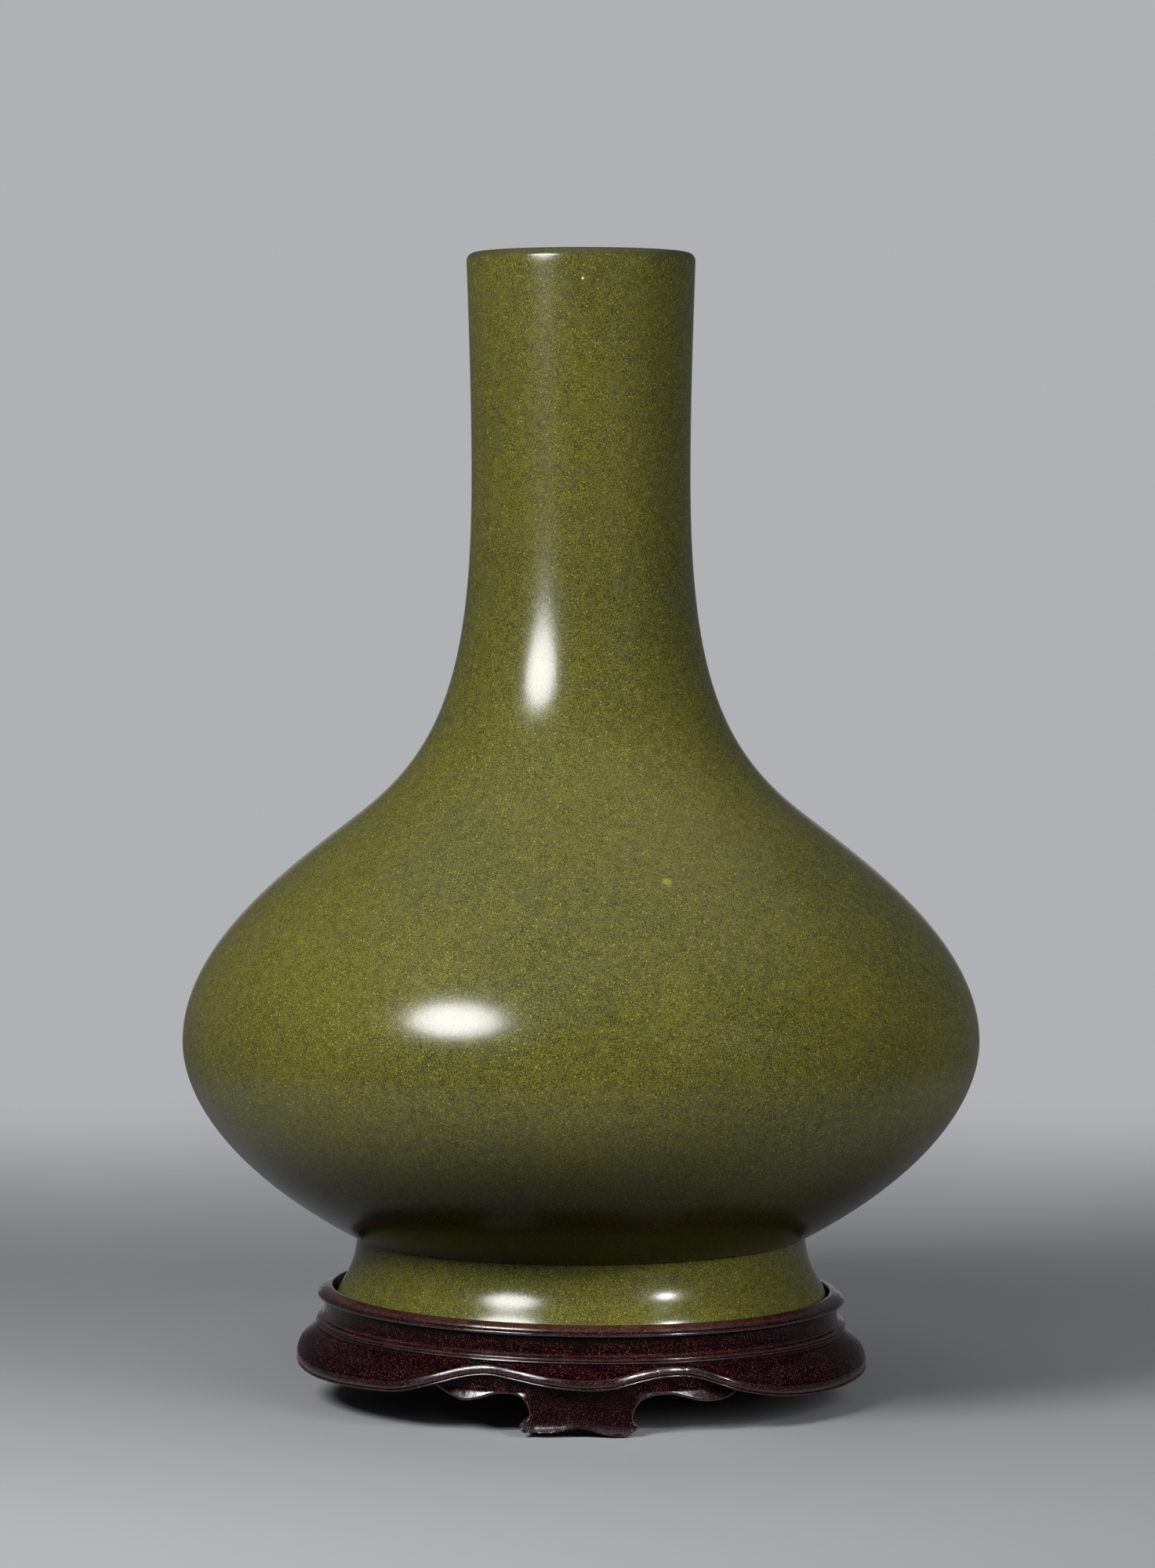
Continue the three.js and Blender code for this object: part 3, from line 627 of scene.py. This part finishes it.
def smooth_line(template, steps=5):
    """A line through all points, where each stretch leaves and arrives along its neighbours."""
    p = np.array([template[0], *template, template[-1]], float)
    t = np.arange(steps)[:, None] / steps
    stretches = [b + 0.5 * ((c - a) * t + (2 * a - 5 * b + 4 * c - d) * t**2 + (3 * b - a - 3 * c + d) * t**3)
                 for a, b, c, d in zip(p, p[1:], p[2:], p[3:])]
    return [tuple(spot) for spot in np.vstack([*stretches, p[-1:]]).tolist()]


wave_line = np.array(smooth_line(WAVE_TEMPLATE))


def skirt_edge(angle):
    """Height of the wavy lower edge: low over a leg, high beside it, lowest between legs."""
    from_leg = (angle + LEG_TURN / 2) % LEG_TURN - LEG_TURN / 2
    return float(np.interp(from_leg, wave_line[:, 0], wave_line[:, 1]))


def skirt_face(height):
    """Radius of the bulging face: widest at its foot, and drawn in ever faster towards the ridge."""
    share = (height - SKIRT_LOW) / (SKIRT_TOP - SKIRT_LOW)
    return max(SKIRT_RADIUS - SKIRT_BEND * share**2 - SKIRT_TUCK * share**3, RIDGE_ROOT)


def bead(middle, radius, start, stop, wear):
    """Points of a round moulding, with its angles counted up from straight out."""
    turns = np.radians(np.linspace(start, stop, BEAD_POINTS))
    return [(middle[0] + radius * math.cos(t), middle[1] + radius * math.sin(t), wear) for t in turns]


def skirt_rows(edge):
    """The wavy part: a thin lip, a dark groove, the raised roll and the bulging face."""
    growth = ROLL_LEAST + ROLL_GROWTH * (edge - SKIRT_LOW) / WAVE_RISE
    root = skirt_face(edge + ROLL_TOP) - 0.05
    lip = root + 0.8 * growth
    inner = min(SKIRT_INSIDE, lip - 0.5)
    rows = [(inner, SLOT_TOP, 0), (inner, edge + 0.3, 0)]
    rows += [(lip - depth, edge + rise, wear) for depth, rise, wear in LIP_TEMPLATE]
    rows += [(root + out * growth, edge + rise, wear) for out, rise, wear in ROLL_TEMPLATE]
    start = min(edge + ROLL_TOP + 0.2, SKIRT_TOP - 0.2)
    return rows + [(skirt_face(z), z, 0) for z in np.linspace(start, SKIRT_TOP, FACE_POINTS)]


def turned_rows():
    """The part that never changes: ridge, fine bead, waist, collar bead and worn collar edge."""
    fine_bead = bead((82.35, 23.45), 0.45, -70, 75, 0.25)
    collar_bead = bead((82.0, 30.8), 0.6, -60, 60, 0.16)
    return RIDGE_TEMPLATE + fine_bead + WAIST_TEMPLATE + collar_bead + COLLAR_TEMPLATE


def ring_section(edge):
    """Radius, height, wear and share of the lean of each point round the section, at one edge height."""
    shown = [(*row, 1) for row in skirt_rows(edge) + turned_rows()]
    hidden = [(COLLAR_INSIDE, LEDGE_TOP), (LEDGE_INSIDE, LEDGE_TOP), (LEDGE_INSIDE, LEDGE_BOTTOM),
              (LEDGE_OUTSIDE, LEDGE_BOTTOM), (LEDGE_OUTSIDE, SLOT_TOP)]
    return np.array(shown + [(*row, 0, 0) for row in hidden], float)


print("points in the ring's section:", len(ring_section(SKIRT_LOW)))
print("edge over a leg, at a crest, at a lobe:", [round(skirt_edge(a), 1) for a in (2, 19.8, 60)])

# %% [markdown]
# ## The six segments
#
# A ring cannot be sawn from one board without weak short grain, so it is glued up from six
# curved segments and turned afterwards. Every second seam leans a little. Each segment is its
# own closed piece here, swept from seam to seam, with a hairline between neighbours and a
# lighter, rubbed edge beside it. The grain values run straight along each segment's own board,
# and each board is read from its own place in the wood, so that no two look alike.

# %% Ring segments
SEGMENTS, SEGMENT_TURN, SEGMENT_STEPS = 6, 60, 96
FIRST_SEAM, SEAM_LEAN, SEAM_WEAR = -47, 4, 0.7
SEAM_WIDTH, SEAM_RADIUS = 0.16, 85
SEAM_GAP = math.degrees(SEAM_WIDTH / SEAM_RADIUS)
SEAM_SHARES = np.array([0, 0.0012, 0.004])
BOARD_PLACE = np.array([400, 37, 0])


def seam_angle(number, height):
    lean = SEAM_LEAN * (RING_TOP - height) / (RING_TOP - LEDGE_BOTTOM) if number % 2 else 0
    return FIRST_SEAM + SEGMENT_TURN * number + lean


def make_segment(number):
    inner_shares = np.linspace(0, 1, SEGMENT_STEPS + 1)[1:-1]
    shares = np.concatenate([SEAM_SHARES, inner_shares, 1 - SEAM_SHARES[::-1]])
    points, worn, grain = [], [], []
    middle = FIRST_SEAM + SEGMENT_TURN * (number + 0.5)
    for share in shares:
        start, stop = seam_angle(number, SKIRT_LOW), seam_angle(number + 1, SKIRT_LOW)
        section = ring_section(skirt_edge(start + (stop - start) * share))
        start, stop = seam_angle(number, section[:, 1]), seam_angle(number + 1, section[:, 1])
        angles = start + SEAM_GAP / 2 + (stop - start - SEAM_GAP) * share
        row = around(section[:, 0], angles, section[:, 1])
        row[:, 2] -= RING_LEAN * row[:, 0] * section[:, 3]
        points.append(row)
        worn.append(np.maximum(section[:, 2], SEAM_WEAR if share in (0, 1) else 0))
        grain.append(around(section[:, 0], angles - middle, section[:, 1]) + number * BOARD_PLACE)
    count = len(points[0])
    faces = []
    for first in range(0, (len(shares) - 1) * count, count):
        for i in range(count):
            j = (i + 1) % count
            faces.append((first + i, first + j, first + count + j, first + count + i))
    faces += [tuple(range(count)), tuple(range((len(shares) - 1) * count, len(shares) * count))]
    name = f"ring_segment_{number + 1}_carved"
    piece = make_piece(name, np.vstack(points), faces, carved_wood, np.concatenate(worn), np.vstack(grain))
    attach(piece, "stand")
    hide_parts(f"ring_segment_{number + 1}")
    return piece


segments = [make_segment(number) for number in range(SEGMENTS)]
print("faces in a segment:", len(segments[0].data.polygons))

# %% [markdown]
# ## The outline of a leg
#
# A leg is cut from one board with a fretsaw before it is carved: a short waisted post with a
# toe that curls out at both corners, and two wings that run up behind the skirt. The two sides
# were drawn by eye and differ a little, so each has its own template: a few points that a
# smooth line runs through. Distances along the front are measured round the ring, so the flat
# outline wraps onto it later without stretching.

# %% Leg outline
FRONT_RADIUS = 84.0
POST_HALF, TOE_CLEAR = 18.4, 8
LEFT_TEMPLATE = [
    # distance from the middle, height
    (13.1, 0.0), (14.7, 0.25), (16.3, 0.75), (17.5, 1.6), (18.4, 2.6), (18.8, 3.5), (18.5, 4.4),
    (17.7, 4.95), (16.9, 5.05), (16.3, 5.6), (15.95, 6.6), (16.1, 8.15), (16.65, 9.9), (17.5, 11.05),
    (18.7, 11.95), (20.2, 12.5), (23.6, 12.75), (27.6, 12.3), (31.9, 11.0), (36.3, 10.2),
    (40.5, 11.06), (45.2, 12.8), (50.0, 15.2), (54.2, 17.4),
]
RIGHT_TEMPLATE = [
    (12.4, 0.0), (14.0, 0.4), (16.0, 1.55), (17.2, 2.6), (17.45, 3.4), (17.1, 4.05), (16.4, 4.7),
    (16.0, 5.6), (16.0, 6.6), (16.4, 8.14), (17.2, 9.76), (18.2, 10.8), (20.0, 11.6), (23.0, 12.25),
    (26.2, 12.36), (29.0, 12.2), (32.5, 11.27), (36.7, 10.1), (41.2, 9.63), (45.8, 10.06),
    (49.9, 11.4), (52.4, 12.8), (54.2, 14.2),
]


def side_outline(template):
    """From the middle of the sole, out round the toe, up the post, along the wing and up its end."""
    return [(0.0, 0.0), *smooth_line(template), (template[-1][0], SLOT_TOP)]


print("points in a side:", len(side_outline(LEFT_TEMPLATE)), "and", len(side_outline(RIGHT_TEMPLATE)))

# %% [markdown]
# ## Filling the outline
#
# The flat outline is filled with triangles first, closest along the sawn edge, where the wood
# will be rounded, and over the toe, where it will be carved. A shelf line across the top of the
# post divides it from the wings. Behind, the post is thick enough to stand on, and the wings are
# thin enough to slide up behind the skirt. Building it as one closed skin lets the rounded edge
# run from wing into post without a joint.

# %% Leg filling
WING_BACK, POST_BACK = 81.1, 71.0
EDGE_SPACING, SHELF_SPACING = 0.6, 1.2
EDGE_DEPTHS = (0.12, 0.3, 0.55, 0.85, 1.2)
SOLE_HEIGHT = 0.9


def subdivided(line, spacing):
    """The same line with extra points, so that no gap is longer than the spacing."""
    rows = []
    for a, b in zip(line, line[1:]):
        parts = max(1, math.ceil(math.dist(a, b) / spacing))
        rows += [tuple(np.array(a) + (np.array(b) - np.array(a)) * i / parts) for i in range(parts)]
    return rows + [tuple(line[-1])]


def with_corner(line):
    """Adds the point where the arch beside the post passes the post's own width."""
    for i, (a, b) in enumerate(zip(line, line[1:])):
        if a[0] < POST_HALF <= b[0] and a[1] > TOE_CLEAR:
            share = (POST_HALF - a[0]) / (b[0] - a[0])
            corner = (POST_HALF, a[1] + (b[1] - a[1]) * share)
            return line[:i + 1] + [corner] + line[i + 1:], corner


right_side, right_corner = with_corner(side_outline(RIGHT_TEMPLATE))
left_side, left_corner = with_corner(side_outline(LEFT_TEMPLATE))
left_corner = (-left_corner[0], left_corner[1])
right_edge = subdivided(right_side, EDGE_SPACING)
left_edge = [(-across, up) for across, up in subdivided(left_side, EDGE_SPACING)[::-1]]
lower = left_edge[:-1] + right_edge
top = subdivided([right_edge[-1], left_edge[0]], SHELF_SPACING)[1:-1]
loop = np.array(lower + top)
shelf = subdivided([left_corner, (-POST_HALF, LEDGE_BOTTOM), (POST_HALF, LEDGE_BOTTOM), right_corner],
                   SHELF_SPACING)[1:-1]


def edge_distance(spots):
    """Distance of each spot from the sawn lower edge, without the flat sole."""
    line = np.array([spot for spot in lower if spot[1] > SOLE_HEIGHT])
    a, b = line[:-1], line[1:]
    near = np.linalg.norm(b - a, axis=1) < 1.0
    a, b = a[near], b[near]
    along = b - a
    share = ((spots[:, None] - a) * along).sum(2) / (along**2).sum(1)
    foot = a + np.clip(share, 0, 1)[..., None] * along
    return np.linalg.norm(spots[:, None] - foot, axis=2).min(1)


def is_inside(spots):
    """True for spots inside the outline, by counting the edges to their right."""
    a, b = loop, np.roll(loop, -1, 0)
    x, z = spots[:, 0][:, None], spots[:, 1][:, None]
    crosses = (a[:, 1] > z) != (b[:, 1] > z)
    rise = np.where(b[:, 1] == a[:, 1], 1, b[:, 1] - a[:, 1])
    return (crosses & (x < a[:, 0] + (z - a[:, 1]) / rise * (b[:, 0] - a[:, 0]))).sum(1) % 2 == 1


def grid(half, low, high, across_step, up_step):
    """Rows of spots over a rectangle that lies evenly about the middle."""
    across, up = np.meshgrid(np.arange(-half, half + 0.1, across_step), np.arange(low, high, up_step))
    return np.stack([across.ravel(), up.ravel()], 1)


def inner_spots():
    """Spots close behind the edge, a grid over the rest, and a finer one over the toe."""
    ahead, behind = np.roll(loop, -1, 0), np.roll(loop, 1, 0)
    along = (ahead - behind) / np.linalg.norm(ahead - behind, axis=1)[:, None]
    inwards = np.stack([-along[:, 1], along[:, 0]], 1)
    rows = []
    for depth in EDGE_DEPTHS:
        row = loop + inwards * depth
        rows.append(row[is_inside(row) & (edge_distance(row) > depth * 0.93) & (row[:, 1] > 0.05)])
    field = grid(54, 0.5, 18.9, 0.8, 0.6)
    rows.append(field[is_inside(field) & (edge_distance(field) > EDGE_DEPTHS[-1] + 0.2)])
    toe = grid(14.8, 0.25, 3.6, 0.6, 0.25) + (0.13, 0.04)
    rows.append(toe[is_inside(toe)])
    return np.vstack(rows)


def nearest(spots, spot):
    return int(np.argmin(np.linalg.norm(spots - spot, axis=1)))


flat = np.vstack([loop, shelf, inner_spots()])
ring_edges = [(i, (i + 1) % len(loop)) for i in range(len(loop))]
shelf_row = [nearest(loop, left_corner), *range(len(loop), len(loop) + len(shelf)),
             nearest(loop, right_corner)]
fixed_edges = ring_edges + list(zip(shelf_row, shelf_row[1:]))
filled = delaunay_2d_cdt([tuple(spot) for spot in flat], fixed_edges, [], 0, 1e-4)
flat = np.array([tuple(spot) for spot in filled[0]])
triangles = np.array([list(face) for face in filled[2]])
triangles = triangles[is_inside(flat[triangles].mean(1))]
print("leg spots:", len(flat), "triangles on the front:", len(triangles))

# %% [markdown]
# ## Carving a leg
#
# The rules of the carving come next, as one function that gives the radius of the front face at
# every spot. The lobes of the toe come from a line that rises in the middle: above it the toe
# swells forward, below it the wood turns under, and a thin plinth stands back in shadow. Each
# curl of the toe has a small raised eye, and all sawn edges are rounded. The same function says
# where hands and dusters have rubbed the wood: edges, lobes, eyes and the foot of each wing.

# %% Leg carving
POST_FACE, WING_FACE, FACE_LIMIT = 82.3, 83.9, 84.3
LOBE_MIDDLE, LOBE_SPREAD, LOBE_SWELL = 11, 6, 1.5
PLINTH_TOP, PLINTH_DEPTH = 1.3, 2.0
LEFT_EYE, RIGHT_EYE = (17.4, 4.1), (16.2, 3.6)
ARRIS = 0.7
LEG_WOOD, LEG_WOOD_STEP = 900, 50


def smooth(value):
    held = np.clip(value, 0, 1)
    return held * held * (3 - 2 * held)


def leg_front(spots):
    """Radius of the carved front, and how worn it is, at each spot of the flat outline."""
    along, across, up = spots[:, 0], np.abs(spots[:, 0]), spots[:, 1]
    on_left = along < 0
    off_edge = edge_distance(spots)

    # the post leans out towards the ring, and the wings stand proud of it and lean back
    face = POST_FACE + 1.0 * smooth((up - 11) / 5)
    wing = smooth((across - 14.5) / 3.5)
    face += wing * (WING_FACE - 0.48 * np.clip(up - 10, 0, 3.5) - face)

    # the toe swells in two lobes above its line, turns under below it, and ends in the plinth
    toe_line = 0.8 - 0.04 * along + 2.1 * np.exp(-(((along + 0.5) / 6.5) ** 2))
    above = up - toe_line
    lobe = 0.6 + 0.4 * np.exp(-(((across - LOBE_MIDDLE) / LOBE_SPREAD) ** 2))
    face += LOBE_SWELL * lobe * np.clip(1 - (above - 0.2) / 2.6, 0, 1) ** 2
    brow = 0.5 * (1 - np.clip(above / 0.45, 0, 1)) ** 2
    face -= np.where(above > 0, brow, 0.5 + 2.0 * smooth(-above / 0.5))
    face -= PLINTH_DEPTH * smooth((PLINTH_TOP - 0.03 * along - up) / 0.3) * (above < 0)

    # an eye in each curl, with a groove round it, and the rounding along the sawn edge
    eye = np.where(on_left[:, None], LEFT_EYE, RIGHT_EYE)
    curl = (across - eye[:, 0]) ** 2 + (up - eye[:, 1]) ** 2
    face += 0.5 * np.exp(-curl / 0.7) - 0.25 * np.exp(-((np.sqrt(curl) - 1.2) ** 2) / 0.1)
    rounded = np.clip(off_edge, 0, ARRIS)
    face -= (ARRIS - np.sqrt(ARRIS**2 - (ARRIS - rounded) ** 2)) * (up > 1.0)

    wear = 0.6 * smooth((0.6 - off_edge) / 0.5) + 0.14 * lobe * smooth(3.2 - above)
    wear += 0.06 * np.exp(-curl / 2)
    wear = np.maximum(wear, np.where(on_left, 0.16, 0.07) * wing * smooth(13.8 - up))
    return np.minimum(face, FACE_LIMIT), np.clip(wear, 0, 1) * (above > 0)


def make_leg(number):
    face, wear = leg_front(flat)
    angle = LEG_TURN * number + np.degrees(flat[:, 0] / FRONT_RADIUS)
    count = len(flat)
    layers = (face, np.full(count, WING_BACK), np.full(count, POST_BACK))
    points = np.vstack([around(radius, angle, flat[:, 1]) for radius in layers])
    across, up = np.abs(flat[triangles].mean(1)).T
    in_post = (up < TOE_CLEAR) | (up < LEDGE_BOTTOM) & (across < POST_HALF)
    faces, owners = [], {}
    for triangle, post in zip(triangles.tolist(), in_post.tolist()):
        back = count * (2 if post else 1)
        faces += [triangle, [back + i for i in triangle[::-1]]]
        for a, b in zip(triangle, triangle[1:] + triangle[:1]):
            owners.setdefault((min(a, b), max(a, b)), []).append((a, b, back, post))
    corners = nearest(flat, left_corner), nearest(flat, right_corner)
    for sides in owners.values():
        a, b, back, post = sides[0]
        if len(sides) == 1:
            wall = [b, a, *([count + a] if post and a in corners else []), back + a, back + b]
            faces.append(wall + ([count + b] if post and b in corners else []))
        elif sides[1][3] != post:
            faces.append([count + a, count + b, 2 * count + b, 2 * count + a])
    used = sorted({i for face_points in faces for i in face_points})
    fresh = {old: new for new, old in enumerate(used)}
    faces = [[fresh[i] for i in face_points] for face_points in faces]
    wear = np.concatenate([wear, np.zeros(2 * count)])
    depth = np.concatenate(layers) + LEG_WOOD + LEG_WOOD_STEP * number
    grain = np.stack([np.tile(flat[:, 1], 3), np.tile(flat[:, 0], 3), depth], 1)
    name = f"leg_{number + 1}_carved"
    piece = make_piece(name, points[used], faces, carved_wood, wear[used], grain[used])
    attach(piece, "stand")
    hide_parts(f"leg_{number + 1}")
    return piece


legs = [make_leg(number) for number in range(LEGS)]
check = bmesh.new()
check.from_mesh(legs[0].data)
print("faces in a leg:", len(check.faces), "open edges:", sum(not edge.is_manifold for edge in check.edges),
      "volume in mm3:", round(check.calc_volume() / MM**3))
check.free()

# %% [markdown]
# ## Board, batten, tongues and pins
#
# These are plain joiner's pieces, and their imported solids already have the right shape: a round
# board that the pot stands on, a batten dovetailed under it, loose tongues across the seams, and
# pins that hold the legs. They keep their meshes and only get a finish, planed wood for board and
# batten and pale bamboo for the small fastenings.

# %% Plain joinery
FINISH_OF = {
    "seat_board": wood_finish("planed_board", "y", paint(52, 26, 18), paint(78, 42, 28),
                              paint(30, 14, 10), 0.55, 0.3),
    "seat_batten": wood_finish("planed_batten", "x", paint(48, 24, 17), paint(72, 39, 26),
                               paint(28, 13, 9), 0.55, 0.3),
    "joint_tongue": wood_finish("split_bamboo", "x", paint(138, 104, 62), paint(176, 142, 92),
                                paint(92, 64, 36), 0.6, 0.3),
    "leg_pin": wood_finish("bamboo_pin", "z", paint(132, 98, 58), paint(170, 136, 86),
                           paint(88, 60, 34), 0.6, 0.3),
}
for node_name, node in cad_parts.items():
    for start, finish in FINISH_OF.items():
        if node_name.startswith(start):
            for slot in node.material_slots:
                slot.material = finish
print("nodes that keep their mesh:", sum(not node.hide_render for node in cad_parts.values()))
